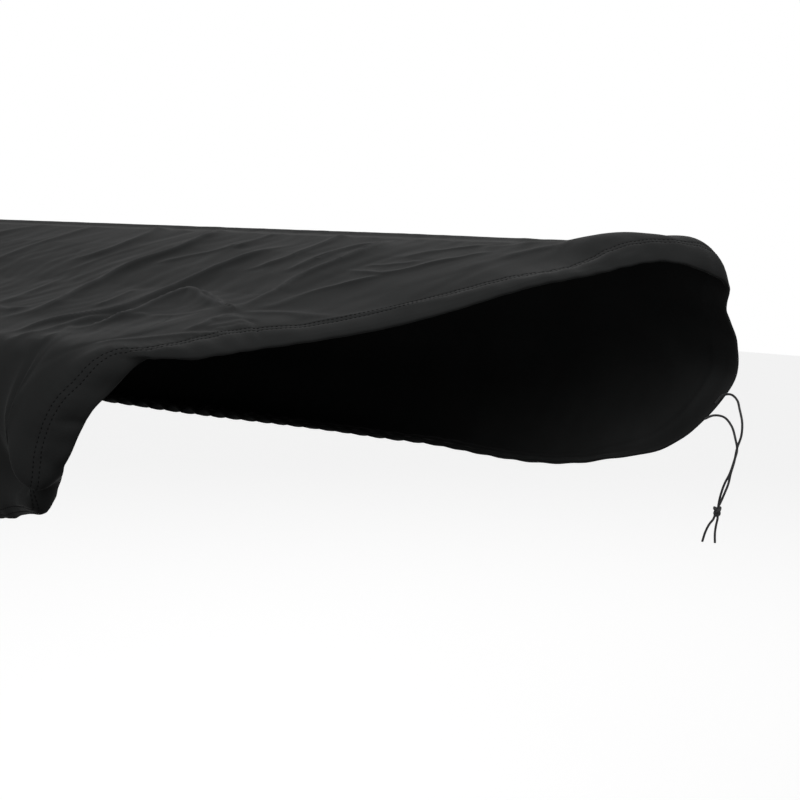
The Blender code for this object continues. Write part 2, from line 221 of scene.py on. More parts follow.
# A round bevel on a spline through the route.
def makeStrand(name, route):
    route = np.array(route, float)
    run = lengths(route)
    path = toMetres(spline(run, route, np.linspace(0, run[-1], cord["pathPoints"])))
    data = bpy.data.curves.new(name, "CURVE")
    data.dimensions = "3D"
    data.bevel_depth = cord["radius"] * millimetre
    data.bevel_resolution = cord["bevel"]
    data.use_fill_caps = True
    line = data.splines.new("POLY")
    line.points.add(len(path) - 1)
    line.points.foreach_set("co", np.column_stack((path, np.ones(len(path)))).ravel())
    data.materials.append(blackCord)
    return link(bpy.data.objects.new(name, data)), path


# One pass of an overhand knot: a three-lobed loop of half width 3, drawn out to the knot's width and height.
def knotPath(offset):
    turn = np.linspace(0, 2 * math.pi, knot["points"], endpoint=False)
    x = np.sin(turn) + 2 * np.sin(2 * turn)
    y = -np.sin(3 * turn)
    z = np.cos(turn) - 2 * np.cos(2 * turn)
    spare = cord["radius"] + knot["slack"]
    grow = 1.0 + offset * knot["growth"]
    wide = (knot["width"] / 2 - spare) / 3.0 * grow
    tall = (knot["height"] / 2 - spare) / 3.0 * grow
    loop = np.stack((x * wide, y * knot["depth"] + offset * knot["apart"], z * tall), axis=1)
    return np.array(knot["middle"]) + loop


# A tube round a closed line: each ring stands square to the line's run.
def closedTube(path, radius, sides):
    ahead = np.roll(path, -1, axis=0) - np.roll(path, 1, axis=0)
    ahead /= np.linalg.norm(ahead, axis=1)[:, None]
    across = np.cross(ahead, path - path.mean(axis=0) + (0.0, 0.01, 0.0))
    across /= np.linalg.norm(across, axis=1)[:, None]
    other = np.cross(ahead, across)
    around = np.linspace(0, 2 * math.pi, sides, endpoint=False)[None, :, None]
    points = path[:, None] + radius * (np.cos(around) * across[:, None] + np.sin(around) * other[:, None])
    faces = gridQuads(len(path) + 1, sides) % (len(path) * sides)
    return points.reshape(-1, 3), faces


# Both passes of the knot, side by side.
def makeKnot():
    allPoints = []
    allFaces = []
    count = 0
    for offset in (-1, 1):
        points, faces = closedTube(knotPath(offset), cord["radius"] * knot["thread"], knot["sides"])
        allPoints.append(points)
        allFaces.append(faces + count)
        count += len(points)
    return meshPiece("knotPiece", toMetres(np.concatenate(allPoints)), np.concatenate(allFaces), blackCord)


knotPiece = makeKnot()
strands = (
    ("strandA", strandA, ("cord_a", "tail_a"), "knot", [knotPiece]),
    ("strandB", strandB, ("cord_b", "tail_b"), "bare", []),
)
for name, route, nodes, farEnd, tiedWith in strands:
    piece, path = makeStrand(name, route)
    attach(piece, "root")
    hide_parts(*nodes)
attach(knotPiece, "root")
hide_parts("knot")
print("cord done")

# Cover cloth: a closed sheet on sections that run from the hem over the wall to the top.
# The levels 0 to 6 of a section are hem, fold, seam, waist, belly, brow and crest, and 7 to 9 lie on the top.
cloth = {
    "thickness": 1.9,
    "casingThickness": 3.0,
    "casing": 20.0,  # width of the turned hem
    "casingPuff": 0.8,
    "thicken": (-1.0, 3.0),  # where the thickness changes, from the casing's edge
    "topGap": 0.4,  # by which the inner face is let in further inside the oval
    "hemRoll": 1.05,
    "rollShare": 0.28,
    "columns": 720,
    "wallRows": 20,
    "topRows": 56,
    "ringRows": 30,
    "hemStep": 3.6,
    "seamClear": 4.0,  # left free of the hem's even rows, beside the casing's edge
    "stepsPerLevel": 40,
    "rightGain": 1.8,  # extra columns towards the right end
    "rightFrom": (-700.0, -430.0),
    "cornerGain": 2.2,  # extra columns at the turned corner
    "flat": (0.62, 1.10),  # metres
}
gathers = {
    "plainHeight": 1.9,
    "turnedHeight": 0.35,
    "pitch": 19.0,
    "reach": 34.0,
    "seed": 5,
    "puckerHeight": 0.28,
    "puckerPitch": 6.4,
    "puckerFrom": 23.0,
    "puckerReach": 9.0,
    "puckerSeed": 8,
    "turnedStart": (-30.0, 10.0),  # from the turned corner's first section
    "turnedEnd": (520.0, 600.0),  # from the section after its last one
}
# Drag lines and the creases of the top fade in over these levels
drag = {"height": 0.2, "shortest": 13.0, "longest": 60.0, "count": 9, "seed": 11, "levels": (4.6, 6.4)}
crease = {
    "linePoints": 31,
    "reaches": 6,
    "narrowShare": 0.36,
    "narrowReach": 3.4,
    "fadeIn": (0.0, 0.2),  # shares of the route
    "fadeOut": (0.78, 1.0),
    "levels": (4.2, 5.8),
    "highlightReach": 2.0,
    "highlightHeight": 4.0,  # from which a crest gets its painted highlight in full
    "highlightRoundness": 2.0,  # from which it gets no painted highlight
    "highlightRange": 0.8,
}
# Along the back edge the top lies calmer, apart from the raised end at the right
calm = {"share": 0.75, "depth": (296.0, 334.0), "rightEnd": -150.0}
stitching = {
    "pitch": 2.9,
    "length": 1.9,
    "radius": 0.26,
    "between": 4.6,
    "groove": 0.25,
    "grooveReach": 0.7,
    "lift": 0.05,
    "sides": 6,
    "trackPoints": 9000,
    # The thread is black, and its colour is set darker than the knit's as painted shade in the stitch holes.
    "color": (0.0035, 0.0035, 0.0037),
    "roughness": 0.8,
    "gloss": 0.05,
}
# Rows beside the two lines of stitches, from the casing's edge
seamRows = (-3.4, -2.7, -2.3, -1.9, -1.1, 0.0, 1.1, 1.9, 2.3, 2.7, 3.4, 5.0)

# The top's height over its depth, and its lower left end: height at the depth "front", slope, fade in X
topDepth = (-60.0, -9.0, 40.0, 100.0, 145.0, 187.0, 240.0, 300.0, 335.0, 420.0)
topRise = (86.0, 88.0, 95.0, 103.0, 110.5, 121.0, 132.0, 141.4, 142.0, 142.0)
leftTop = {"height": 77.7, "slope": 0.232, "front": -6.9, "fade": (-945.0, -875.0)}

# Plain walls from the hem edge to the top edge, as (inward from the wall's line, height)
frontWall = ((37, -16), (25, -21), (16, -10), (14, 8), (5, 34), (1, 54), (21, 88))
backWall = ((71, -10), (53, -12), (36, -4), (19, 24), (2, 57), (35, 102), (65, 142))
leftWall = ((28, -8), (13, -13), (2, -3), (0, 22), (0, 50), (2, 78), (16, 104))
wallLine = {"front": -30.0, "back": 401.0, "left": -951.0}
wallRound = {"front": 24.0, "back": 30.0}

# Where sections stand: X on the front and back walls, shares of a corner's turn, Y on the left wall
frontPlaces = (-880, -800, -700, -600, -500, -410, -340, -294)
backPlaces = (-250, -330, -430, -540, -660, -780, -870)
cornerTurns = (0.0, 0.33, 0.67, 1.0)
leftPlaces = {"middle": 165.0, "front": 80.0, "back": 250.0}

# One row per section of the turned corner at the front and of the raised end at the right rear, (X, Y, Z)
turnedFront = (
    ((-274, 2, -13), (-271, -12, -14), (-271, -19, -5), (-271, -16, 9),
     (-271, -26, 32), (-273, -31, 54), (-277, -9, 89)),
    ((-259, -4, -9), (-256, -17, -11), (-256, -27, -1), (-257, -18, 10),
     (-254, -32, 25), (-256, -35, 54), (-265, -9, 90)),
    ((-244, -9, -2), (-240, -21, -7), (-241, -32, 1), (-246, -24, 10),
     (-244, -36, 18), (-247, -42, 52), (-257, -9, 90)),
    ((-228, -19, 10), (-232, -28, 9), (-236, -31, 12), (-239, -32, 16),
     (-241, -38, 24), (-243, -44, 48), (-252, -9, 90)),
    ((-207, -33, 21), (-214, -42, 13), (-223, -46, 13), (-232, -48, 20),
     (-239, -46, 34), (-243, -40, 57), (-248, -9, 90)),
    ((-196, -33, 41), (-206, -42, 41), (-218, -45, 42), (-227, -45, 47),
     (-235, -41, 56), (-240, -33, 68), (-243, -8, 91)),
    ((-188, -29, 57), (-197, -37, 59), (-207, -41, 61), (-216, -39, 65),
     (-224, -35, 71), (-231, -27, 79), (-238, -7, 91)),
    ((-181, -19, 69), (-189, -28, 71), (-198, -33, 74), (-206, -30, 78),
     (-213, -25, 82), (-220, -17, 87), (-229, -3, 92)),
    ((-169, -11, 83), (-177, -18, 85), (-187, -20, 88), (-195, -17, 90),
     (-202, -11, 91), (-209, -4, 92), (-217, 6, 94)),
    ((-145, 3, 88), (-154, 1, 91), (-166, 4, 93), (-177, 9, 94),
     (-187, 14, 95), (-196, 20, 96), (-206, 28, 98)),
    ((-139, 30, 90), (-149, 31, 94), (-162, 35, 97), (-173, 40, 99),
     (-184, 45, 100), (-193, 50, 101), (-204, 57, 102)),
    ((-137, 55, 91), (-147, 59, 96), (-159, 65, 100), (-170, 71, 102),
     (-181, 77, 103), (-191, 82, 104), (-202, 89, 105)),
)
turnedBack = (
    ((-20, 267, 134), (-29, 272, 140.5), (-40, 278, 145), (-52, 283, 147.5),
     (-65, 288, 148), (-80, 294, 146), (-104, 303, 143)),
    ((-9, 288, 136), (-17, 293, 143), (-27, 299, 148), (-38, 303, 150.5),
     (-50, 307, 151), (-65, 311, 149.5), (-94, 318, 144.5)),
    ((3, 310, 130), (0, 312, 138.5), (-8, 316, 144.5), (-18, 319, 148),
     (-31, 321, 148.5), (-49, 324, 147.5), (-86, 327, 143.5)),
    ((1, 349, 119), (-1, 346, 129.5), (-6, 342, 139), (-14, 337, 145.5),
     (-25, 333, 148), (-44, 331, 147), (-82, 333, 142.5)),
    ((-8, 366, 100), (-17, 363, 107), (-28, 358, 114), (-38, 353, 121),
     (-48, 347, 129), (-59, 341, 136), (-84, 336, 142)),
    ((-13, 392, 74), (-24, 389, 80), (-36, 385, 85), (-48, 379, 93),
     (-60, 368, 107), (-72, 355, 123), (-92, 337, 142)),
    ((-17, 399, 50), (-28, 401, 55), (-41, 400, 61), (-54, 394, 72),
     (-68, 378, 94), (-84, 358, 118), (-106, 337, 142)),
    ((-26, 382, 26), (-38, 388, 31), (-52, 393, 41), (-68, 397, 58),
     (-86, 382, 84), (-103, 360, 114), (-126, 337, 142)),
    ((-50, 366, 2), (-60, 375, 6), (-72, 382, 16), (-90, 396, 48),
     (-110, 384, 82), (-128, 360, 114), (-152, 337, 142)),
    ((-92, 346, -9), (-97, 359, -9), (-104, 370, 2), (-118, 387, 34),
     (-138, 392, 70), (-158, 361, 111), (-182, 337, 142)),
)

# The diagonal hem between them, the way its sections run in, and how their droop to it dies out
diagonalHem = ((-120, 86, 95), (-102, 119, 100), (-81, 158, 109), (-58, 199, 121), (-32, 246, 130))
diagonalInward = (-0.877, 0.480)
diagonalSteps = (0.0, 12.0, 25.0, 36.0, 48.0, 62.0, 82.0)
diagonalDroop = (1.0, 0.62, 0.34, 0.18, 0.08, 0.02, 0.0)

# The oval on the top where all sections end, and the shares of the way to it of levels 7 to 9
ringMiddle = np.array((-440.0, 190.0))
ringHalf = (260.0, 52.0)
crestSpread = (420.0, 175.0)
towardsRing = ((0.34, 0.25), (0.67, 0.0), (1.0, 0.0))  # with the share of the crest's extra height kept

# Creases of the top: height, reach left and right of the route, roundness of the crest, route as (X, Y)
topCreases = {
    "far": (3.2, 15, 6, 1.3, ((-472, 189), (-463, 194), (-454, 212), (-455, 226), (-500, 329))),
    "main": (4.8, 15, 5.5, 1.2, ((-354, 30), (-353, 39), (-344, 55), (-346, 68), (-365, 111), (-390, 196),
        (-387, 225), (-404, 275), (-432, 334))),
    "mainFoot": (2, 4, 6, 0.9, ((-401, 64), (-383, 61), (-369, 59), (-360, 72))),
    "second": (4.4, 10, 5, 1.0, ((-303, -8), (-302, 7), (-303, 35), (-285, 65), (-289, 96), (-295, 115),
        (-306, 187), (-307, 221), (-309, 239), (-307, 274))),
    "third": (2.8, 6, 4, 0.7, ((-291, -6), (-279, -4), (-273, 6), (-278, 24), (-281, 49), (-278, 59),
        (-277, 70))),
    "fourth": (1.8, 6, 4, 0.9, ((-280, -9), (-262, -13), (-253, -9), (-256, 2), (-279, 38))),
    "tent": (6.4, 3, 22, 0.8, ((-267, 21), (-264, 37), (-259, 46), (-274, 113), (-276, 131), (-265, 127),
        (-244, 114), (-184, 83))),
    "cornerSeam": (3.6, 9, 2.6, 0.5, ((-276, 137), (-264, 132), (-196, 91), (-183, 83), (-174, 80))),
    "shelf": (1.5, 3, 7, 0.6, ((-246, 69), (-238, 69), (-214, 82), (-211, 93))),
    "inner": (4.8, 5, 20, 1.1, ((-192, 91), (-197, 100), (-201, 112), (-220, 190), (-220, 218),
        (-236, 300))),
    "outer": (1.8, 7, 6, 0.9, ((-191, 97), (-185, 111), (-186, 147), (-167, 188), (-163, 200))),
    "middle": (1.8, 7, 4, 0.9, ((-205, 202), (-162, 200), (-149, 227), (-138, 247), (-129, 277))),
    "middleTwo": (1.4, 6, 4, 0.9, ((-180, 232), (-179, 241), (-171, 261), (-155, 282), (-149, 294))),
    "fineOne": (0.9, 5, 3.5, 0.8, ((-195, 212), (-167, 226), (-163, 237))),
    "hemLine": (1.6, 7, 5, 1, ((-158, 127), (-149, 145), (-127, 182), (-115, 236), (-115, 257))),
    "hemCrease": (1.8, 8, 5, 1, ((-113, 241), (-99, 285), (-50, 288), (-26, 296))),
    "rearOne": (2, 7, 3.5, 0.8, ((-344, 241), (-351, 282), (-356, 305))),
    "rearTwo": (2.4, 8, 3.5, 0.8, ((-286, 186), (-276, 202), (-275, 242), (-290, 301), (-299, 322))),
    "rearThree": (2, 6, 3.5, 0.8, ((-249, 187), (-246, 204), (-248, 217), (-249, 260), (-244, 291))),
    "betweenOne": (1.4, 6, 4, 0.8, ((-379, 188), (-370, 201), (-363, 219), (-352, 237), (-364, 277))),
    "betweenTwo": (1.4, 6, 4, 0.8, ((-317, 85), (-322, 106), (-332, 140))),
    "shelfLow": (0.9, 4, 3, 0.8, ((-263, 48), (-251, 61), (-247, 71))),
    "leftFoot": (1.8, 9, 6, 1.4, ((-392, 50), (-404, 96), (-428, 160))),
    "farRear": (1.6, 10, 5, 1.4, ((-530, 150), (-548, 210), (-556, 262), (-570, 320))),
    "leftOne": (2.8, 20, 11, 2.4, ((-640, 30), (-612, 140), (-634, 250), (-628, 325))),
    "leftTwo": (2.4, 18, 12, 2.4, ((-790, 0), (-752, 110), (-770, 210), (-758, 310))),
}
# Creases of the front and of the hem: the same, a trough where the height is below 0, route as (X, Y, Z)
frontCreases = {
    "rollEdge": (-0.7, 3.0, 6.0, 1.0, ((-262, -8, 90), (-257, -22, 82), (-250, -36, 66), (-243, -46, 44),
        (-241, -46, 32))),
    "rollHollow": (-2.4, 5.0, 4.0, 1.2, ((-213, -43, 33), (-209, -41, 27), (-203, -33, 22))),
    "notch": (-3.0, 3.5, 3.5, 1.0, ((-189, -30, 50), (-197, -37, 51), (-204, -41, 51))),
    "nook": (-3.5, 5.0, 5.0, 1.2, ((-158, -8, 84), (-170, -16, 87), (-180, -18, 90))),
    "wallLeft": (1.6, 8.0, 6.0, 1.6, ((-296, -14, 86), (-304, -26, 70), (-310, -29, 52),
        (-312, -26, 36))),
    "wallFar": (1.8, 14.0, 9.0, 2.4, ((-372, -12, 86), (-384, -26, 66), (-390, -29, 46))),
    "frontLine": (1.4, 3, 5, 0.6, ((-218, -7, 92), (-201, -2, 93), (-188, 10, 95), (-175, 23, 96),
        (-168, 29, 97), (-158, 45, 97), (-157, 55, 98))),
    "gatherOne": (2, 2.6, 4, 0.5, ((-177, 31, 98), (-177, 44, 100), (-185, 70, 103), (-186, 88, 104))),
    "gatherTwo": (1, 2, 2, 0.4, ((-181, 58, 101), (-180, 72, 103), (-177, 82, 103))),
    "gatherA": (0.9, 2, 2, 0.4, ((-170, 43, 99), (-169, 69, 102), (-170, 77, 102))),
    "gatherB": (0.8, 2, 2, 0.4, ((-165, 42, 98), (-162, 60, 100), (-164, 69, 101))),
    "roundedEnd": (-1.3, 2, 2, 0.5, ((-173, 78, 103), (-163, 76, 101), (-155, 70, 99), (-140, 56, 93))),
    "lineFive": (1.3, 4, 5, 0.7, ((-189, 87, 104), (-166, 108, 104), (-147, 111, 103), (-130, 118, 103))),
    "seamRidge": (1.2, 5, 3, 0.7, ((-144, 89, 100), (-137, 103, 101), (-103, 152, 110), (-87, 170, 115),
        (-66, 200, 123))),
    "seamRidgeFar": (1.4, 6, 3, 0.7, ((-68, 197, 122), (-61, 206, 124), (-50, 229, 128), (-46, 241, 131),
        (-33, 262, 136), (-25, 270, 138), (-12, 286, 138))),
}


# The left end's height, a plane that rises to the back.
def leftHeight(y):
    return leftTop["height"] + leftTop["slope"] * (y - leftTop["front"])


# The top's height: that of its depth, falling at the left to the left end's.
def topHeight(x, y):
    middle = np.interp(y, topDepth, topRise)
    end = np.minimum(leftHeight(y), middle)
    return end + (middle - end) * smooth(*leftTop["fade"], x)


# How much the left wall's heights are scaled to meet the top at a depth.
def leftScale(y):
    return min(leftHeight(y), topRise[-1]) / leftWall[-1][1]


# A plain wall's section is its outline moved to its place along the wall.
def frontSection(x):
    return [(x, wallLine["front"] + inward, height) for inward, height in frontWall]


def backSection(x):
    return [(x, wallLine["back"] - inward, height) for inward, height in backWall]


# The left wall's height, scaled only above the base.
def scaledHeight(height, scale):
    return height * scale if height > 0 else height


def leftSection(y):
    scale = leftScale(y)
    return [(wallLine["left"] + inward, y, scaledHeight(height, scale)) for inward, height in leftWall]


# Round a left corner a section turns a quarter circle, and its heights pass from one wall's to the other's.
def cornerSection(turn, side, wall, sign):
    angle = turn * math.pi / 2
    radius = wallRound[side]
    share = smooth(0.0, 1.0, turn)
    scale = leftScale(wallLine[side] + sign * (wall[-1][0] + radius))
    section = []
    for (longIn, longZ), (endIn, endZ) in zip(wall, leftWall):
        x = wallLine["left"] + endIn + radius * (1 - math.sin(angle))
        y = wallLine[side] + sign * (longIn + radius * (1 - math.cos(angle)))
        section.append((x, y, longZ * (1 - share) + scaledHeight(endZ, scale) * share))
    return section


# Straight in from the hem over the top, lower than it by the droop.
def diagonalSection(hem):
    fall = topHeight(hem[0], hem[1]) - hem[2]
    section = []
    for step, droop in zip(diagonalSteps, diagonalDroop):
        x = hem[0] + diagonalInward[0] * step
        y = hem[1] + diagonalInward[1] * step
        section.append((x, y, float(topHeight(x, y)) - fall * droop))
    return section


# All sections once round from the left end by the front. With them go the number of the turned corner's first
# one, and of the one at the right rear corner, where the columns' second half begins.
def loopSections():
    sections = [leftSection(leftPlaces["middle"]), leftSection(leftPlaces["front"])]
    sections += [cornerSection(turn, "front", frontWall, 1) for turn in reversed(cornerTurns)]
    sections += [frontSection(x) for x in frontPlaces]
    turnedStart = len(sections)
    sections += [list(row) for row in turnedFront]
    sections += [diagonalSection(hem) for hem in diagonalHem]
    middle = len(sections) + 2
    sections += [list(row) for row in turnedBack]
    sections += [backSection(x) for x in backPlaces]
    sections += [cornerSection(turn, "back", backWall, -1) for turn in cornerTurns]
    sections.append(leftSection(leftPlaces["back"]))
    sections.append(sections[0])
    return np.array(sections, float), turnedStart, middle


# Where the columns stand round the loop: closer together to the right, and closest at the turned corner.
def columnPlaces(sections, turnedStart, middle):
    stride = np.linalg.norm(np.diff(sections[:, 1:], axis=0), axis=2).mean(axis=1)
    place = np.concatenate(([0.0], np.cumsum(stride)))
    browX = (sections[:-1, 5, 0] + sections[1:, 5, 0]) / 2
    corner = np.zeros(len(stride))
    corner[turnedStart - 1:turnedStart + len(turnedFront)] = 1.0
    density = 1.0 + cloth["rightGain"] * smooth(*cloth["rightFrom"], browX) + cloth["cornerGain"] * corner
    weight = np.concatenate(([0.0], np.cumsum(stride * density)))
    half = cloth["columns"] // 2
    front = np.interp(np.linspace(0, weight[middle], half, endpoint=False), weight, place)
    back = np.interp(np.linspace(weight[middle], weight[-1], half, endpoint=False), weight, place)
    return place, np.concatenate((front, back))


# Splines round the loop at each level, then up each column; past the crest the top's own height takes over.
def denseColumns(sections, place, at):
    grid = spline(place, sections, at)
    crest = grid[:, 6]
    spread = (crest[:, :2] - ringMiddle) / crestSpread
    ring = ringMiddle + spread / np.linalg.norm(spread, axis=1)[:, None] * ringHalf
    extra = crest[:, 2] - topHeight(crest[:, 0], crest[:, 1])
    inner = []
    for share, kept in towardsRing:
        xy = crest[:, :2] + (ring - crest[:, :2]) * share
        inner.append(np.column_stack((xy, topHeight(xy[:, 0], xy[:, 1]) + extra * kept)))
    controls = np.concatenate((grid, np.stack(inner, axis=1)), axis=1).transpose(1, 0, 2)
    levels = np.linspace(0, 9, 9 * cloth["stepsPerLevel"] + 1)
    dense = spline(np.arange(10.0), controls, levels)
    height = topHeight(dense[..., 0], dense[..., 1]) + extra * (1 - smooth(6.0, 7.0, levels[:, None]))
    share = smooth(6.0, 6.6, levels[:, None])
    dense[..., 2] = dense[..., 2] * (1 - share) + height * share
    return dense, levels


# The distance from the hem of each row: even over the hem, set beside the stitches, shares of the way above.
def rowDistances(arc):
    hemRows = np.arange(0, cloth["casing"] - cloth["seamClear"], cloth["hemStep"])
    near = np.concatenate((hemRows, cloth["casing"] + np.array(seamRows)))
    near = near[:, None] * np.ones((1, arc.shape[1]))
    atCrest = arc[6 * cloth["stepsPerLevel"]]
    wallShare = np.linspace(0, 1, cloth["wallRows"] + 1)[1:, None]
    topShare = np.linspace(0, 1, cloth["topRows"] + 1)[1:, None]
    wall = near[-1] + (atCrest - near[-1]) * wallShare
    return np.concatenate((near, wall, atCrest + (arc[-1] - atCrest) * topShare))


# The bare form: dense columns picked at the rows' distances from the hem, all in one interpolation.
def bareCloth():
    sections, turnedStart, middle = loopSections()
    place, at = columnPlaces(sections, turnedStart, middle)
    dense, levels = denseColumns(sections, place, at)
    steps = np.linalg.norm(np.diff(dense, axis=0), axis=2)
    arc = np.concatenate((np.zeros((1, len(at))), np.cumsum(steps, axis=0)))
    edge = rowDistances(arc)
    shift = np.arange(len(at)) * 1e5
    flatArc = (arc + shift).T.ravel()
    flatEdge = (edge + shift).T.ravel()

    def picked(values):
        return np.interp(flatEdge, flatArc, values).reshape(len(at), -1).T

    points = np.stack([picked(dense[..., axis].T.ravel()) for axis in range(3)], axis=-1)
    level = picked(np.tile(levels, len(at)))
    turned = (place[turnedStart], place[turnedStart + len(turnedFront)])
    return {"points": points, "edge": edge, "level": level, "place": at, "turned": turned}


# Rows of the oval's inside: straight from each front column of the ring to the back column as far along.
# At both ends, where the two columns are one, a triangle closes each row.
def ovalPatch(ringIndex, points, rowCount):
    half = len(ringIndex) // 2
    near = ringIndex[:half + 1]
    far = ringIndex[np.concatenate(([0], np.arange(len(ringIndex) - 1, half - 1, -1)))]
    share = (np.arange(1, rowCount + 1) / (rowCount + 1))[:, None, None]
    added = points[near[1:-1]] + (points[far[1:-1]] - points[near[1:-1]]) * share
    index = len(points) + np.arange(rowCount * (half - 1)).reshape(rowCount, half - 1)
    first = np.full((rowCount, 1), near[0])
    last = np.full((rowCount, 1), near[-1])
    table = np.concatenate((near[None], np.concatenate((first, index, last), axis=1), far[None]))
    quads = np.stack((table[:-1, :-1], table[:-1, 1:], table[1:, 1:], table[1:, :-1]), axis=-1)
    ends = np.concatenate((quads[:, 0, [0, 1, 2]], quads[:, -1, [0, 1, 3]]))
    return added.reshape(-1, 3), quads[:, 1:-1].reshape(-1, 4), ends


# A crease: height times e to the minus (softened distance over reach), unequal on its sides, dying out at its
# ends. A part of it has a narrow reach, for a sharp crest. The mask of the painted highlight is greatest
# along high, sharp crests.
def creaseLift(points, normals, height, left, right, roundness, route):
    run = lengths(route)
    line = spline(run, route, np.linspace(0, run[-1], crease["linePoints"]))
    reach = crease["reaches"] * max(left, right)
    near = np.all((points > line.min(axis=0) - reach) & (points < line.max(axis=0) + reach), axis=1)
    place = points[near]
    best = np.full(len(place), 1e9)
    side = np.zeros(len(place))
    along = np.zeros(len(place))
    for index in range(len(line) - 1):
        step = line[index + 1] - line[index]
        share = np.clip((place - line[index]) @ step / (step @ step), 0, 1)
        away = place - line[index] - share[:, None] * step
        distance = np.linalg.norm(away, axis=1)
        across = np.einsum("ij,ij->i", np.cross(normals[near], step), away) / np.linalg.norm(step)
        # At a corner of the line two steps are as near: the one that the point lies more beside counts.
        tied = (distance < best + 1e-6) & (np.abs(across) > np.abs(side))
        closer = (distance < best - 1e-6) | tied
        best = np.where(closer, distance, best)
        side = np.where(closer, across, side)
        along = np.where(closer, (index + share) / (len(line) - 1), along)
    reachHere = np.where(side > 0, left, right)
    soft = np.sqrt(best ** 2 + roundness ** 2) - roundness
    fade = smooth(*crease["fadeIn"], along) * (1 - smooth(*crease["fadeOut"], along))
    wide = (1 - crease["narrowShare"]) * np.exp(-soft / reachHere)
    narrow = crease["narrowShare"] * np.exp(-soft / np.minimum(reachHere, crease["narrowReach"]))
    lift = np.zeros(len(points))
    lift[near] = height * (wide + narrow) * fade
    sharp = np.clip((crease["highlightRoundness"] - roundness) / crease["highlightRange"], 0.0, 1.0)
    sharp *= np.clip(height / crease["highlightHeight"], 0.0, 1.0)
    highlightMask = np.zeros(len(points))
    highlightMask[near] = np.exp(-(best / crease["highlightReach"]) ** 2) * fade * sharp
    return lift, highlightMask


# A table of creases: the sum of their lifts and the greatest of their painted-highlight masks. A flat route
# lies on the top.
def allCreases(points, normals, creases):
    lift = np.zeros(len(points))
    highlightMask = np.zeros(len(points))
    for height, left, right, roundness, route in creases.values():
        route = np.array(route, float)
        if route.shape[1] == 2:
            route = np.column_stack((route, topHeight(route[:, 0], route[:, 1])))
        added, addedHighlightMask = creaseLift(points, normals, height, left, right, roundness, route)
        lift += added
        highlightMask = np.maximum(highlightMask, addedHighlightMask)
    return lift, highlightMask


# Fine drag lines of the stretched knit: sines across the length whose crests wander with the depth.
def dragLift(points):
    x = points[:, 0]
    y = points[:, 1]
    dice = random.Random(drag["seed"])
    lift = np.zeros(len(points))
    for index in range(drag["count"]):
        wave = drag["shortest"] * (drag["longest"] / drag["shortest"]) ** (index / (drag["count"] - 1))
        lean = dice.uniform(-0.35, 0.05)
        bend = dice.uniform(80, 190)
        start = dice.uniform(0, waveTurn)
        patches = np.sin(y / dice.uniform(30, 60) + x / dice.uniform(60, 110) + dice.uniform(0, waveTurn))
        phase = (x - lean * y + 9.0 * np.sin(y / bend * waveTurn + start)) / wave * waveTurn
        height = drag["height"] * (wave / drag["longest"]) ** 0.6
        lift += height * (0.5 + 0.5 * patches) * np.sin(phase + start)
    return lift


# Uneven gathers along the hem: a sine whose pitch and height drift.
def gatherWave(run, pitch, seed):
    dice = random.Random(seed)
    drift = 0.0
    for wave in range(4):
        drift += dice.uniform(0.6, 1.4) * np.sin(run / dice.uniform(30, 120) + dice.uniform(0, waveTurn))
    height = 0.6 + 0.4 * np.sin(run / dice.uniform(40, 70) + dice.uniform(0, waveTurn))
    return height * np.sin(run / pitch * waveTurn + 1.3 * drift)


# How far the hem stands out: gathers and puckers that die out, the casing's bulge, the stitches' grooves.
def hemSwell(edge, run, turned):
    height = gathers["plainHeight"] * (1 - turned) + gathers["turnedHeight"] * turned
    hemward = np.exp(-(edge / gathers["reach"]) ** 2)
    swell = height * hemward * gatherWave(run, gathers["pitch"], gathers["seed"])
    pucker = gathers["puckerHeight"] * np.exp(-((edge - gathers["puckerFrom"]) / gathers["puckerReach"]) ** 2)
    swell += pucker * gatherWave(run, gathers["puckerPitch"], gathers["puckerSeed"]) * turned
    inCasing = np.clip(edge / cloth["casing"], 0, 1)
    swell += cloth["casingPuff"] * np.sin(np.pi * inCasing) * (edge < cloth["casing"])
    for line in (-0.5, 0.5):
        seam = cloth["casing"] + line * stitching["between"]
        swell -= stitching["groove"] * np.exp(-((edge - seam) / stitching["grooveReach"]) ** 2)
    return swell


# The outer face: the bare form swollen along its normals, its top lifted by creases and drag lines.
def outerFace():
    bare = bareCloth()
    rows, columns = bare["edge"].shape
    loop = bare["points"].reshape(-1, 3)
    ringIndex = np.arange(columns) + (rows - 1) * columns
    oval, ovalQuads, ovalEnds = ovalPatch(ringIndex, loop, cloth["ringRows"])
    oval[:, 2] = topHeight(oval[:, 0], oval[:, 1])
    points = np.concatenate((loop, oval))
    quads = np.concatenate((gridQuads(rows, columns), ovalQuads))
    normals = pointNormals(points, quads)

    def withOval(values, inOval):
        return np.concatenate((values.ravel(), np.full(len(oval), inOval)))

    level = withOval(bare["level"], 9.0)
    edge = withOval(bare["edge"], 400.0)
    run = withOval(np.tile(lengths(bare["points"][10]), rows), 0.0)
    place = withOval(np.tile(bare["place"], rows), 0.0)
    turned = smooth(*gathers["turnedStart"], place - bare["turned"][0])
    turned *= 1 - smooth(*gathers["turnedEnd"], place - bare["turned"][1])
    onTop = smooth(*crease["levels"], level)
    rise, topHighlightMask = allCreases(points, normals, topCreases)
    swell, frontHighlightMask = allCreases(points, normals, frontCreases)
    points = points + normals * (swell + hemSwell(edge, run, turned))[:, None]
    backEdge = smooth(*calm["depth"], points[:, 1]) * (points[:, 0] < calm["rightEnd"])
    lift = rise * onTop + dragLift(points) * smooth(*drag["levels"], level)
    points[:, 2] += lift * (1 - calm["share"] * backEdge)
    # Sharp crests of the top and the front get a painted highlight along them.
    highlightMask = np.maximum(topHighlightMask * onTop, frontHighlightMask)
    return {"points": points, "quads": quads, "ends": ovalEnds, "edge": edge, "highlightMask": highlightMask,
            "rows": rows, "columns": columns, "hemDistance": bare["edge"][:, 0],
            "outward": bare["points"][0] - bare["points"][1]}


